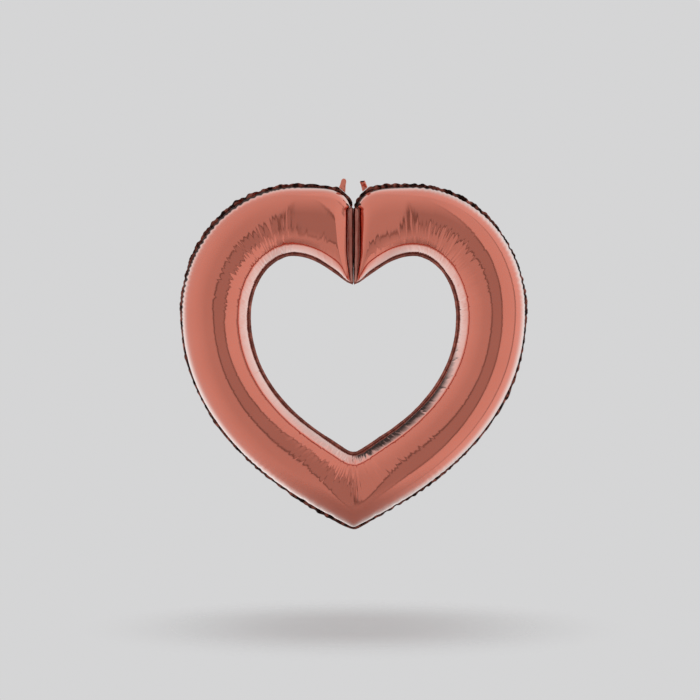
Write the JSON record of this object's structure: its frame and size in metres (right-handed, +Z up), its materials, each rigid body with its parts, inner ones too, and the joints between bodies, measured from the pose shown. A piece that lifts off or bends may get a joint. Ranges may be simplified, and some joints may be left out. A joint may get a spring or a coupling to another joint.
{
  "type": "heart balloon",
  "caption": "Open heart of metallised film tube with closed ends meeting at the notch, puckered outer border, hanging tab and self-closing filling neck.",
  "frame": {"origin": "top of the notch, where the two tube ends meet and the heart is hung", "axes": "+Z up, front faces -Y, +X to the viewer's right"},
  "size_m": [0.9382, 0.1864, 0.9416],
  "materials": {
    "foil": "rose-gold metallised film, bright, finely wrinkled",
    "foil_border": "rose-gold metallised film welded in two layers, bright, puckered",
    "valve_film": "thin clear film"
  },
  "bodies": {
    "left_arm": {"front_film_left": "foil", "back_film_left": "foil", "outer_border_left": "foil_border", "inner_border_left": "foil_border", "end_border_left": "foil_border", "front_film_bottom": "foil", "back_film_bottom": "foil", "outer_border_bottom": "foil_border", "inner_border_bottom": "foil_border"},
    "right_arm": {"front_film_right": "foil", "back_film_right": "foil", "outer_border_right": "foil_border", "inner_border_right": "foil_border", "end_border_right": "foil_border", "valve_back_ply": "valve_film"},
    "hanging_tab": {"hanging_tab": "foil"},
    "filling_neck": {"filling_neck": "foil"},
    "valve_flap": {"valve_front_ply": "valve_film"}
  },
  "joints": [
    {"name": "notch_opening", "type": "hinge", "parent": "left_arm", "child": "right_arm", "pos_m": [0, 0, -0.6452], "axis": [0, 1, 0], "range_deg": [0, 24], "stiffness_Nm_per_rad": 3, "springref_deg": -8.59, "deforming": ["front_film_bottom", "back_film_bottom", "outer_border_bottom", "inner_border_bottom"]},
    {"name": "tab_fold", "type": "hinge", "parent": "left_arm", "child": "hanging_tab", "pos_m": [-0.03126, 0, 0.0401], "axis": [0.7571, 0, -0.6533], "range_deg": [-80, 80], "stiffness_Nm_per_rad": 0.0002},
    {"name": "neck_fold", "type": "hinge", "parent": "right_arm", "child": "filling_neck", "pos_m": [0.03126, 0, 0.0401], "axis": [0.7571, 0, 0.6533], "range_deg": [-80, 80], "stiffness_Nm_per_rad": 0.0002},
    {"name": "valve_parting", "type": "hinge", "parent": "right_arm", "child": "valve_flap", "pos_m": [0.03355, -0.0002, 0.02931], "axis": [-0.9781, 0, -0.2079], "range_deg": [0, 6], "stiffness_Nm_per_rad": 0.0006, "springref_deg": -11.46}
  ]
}
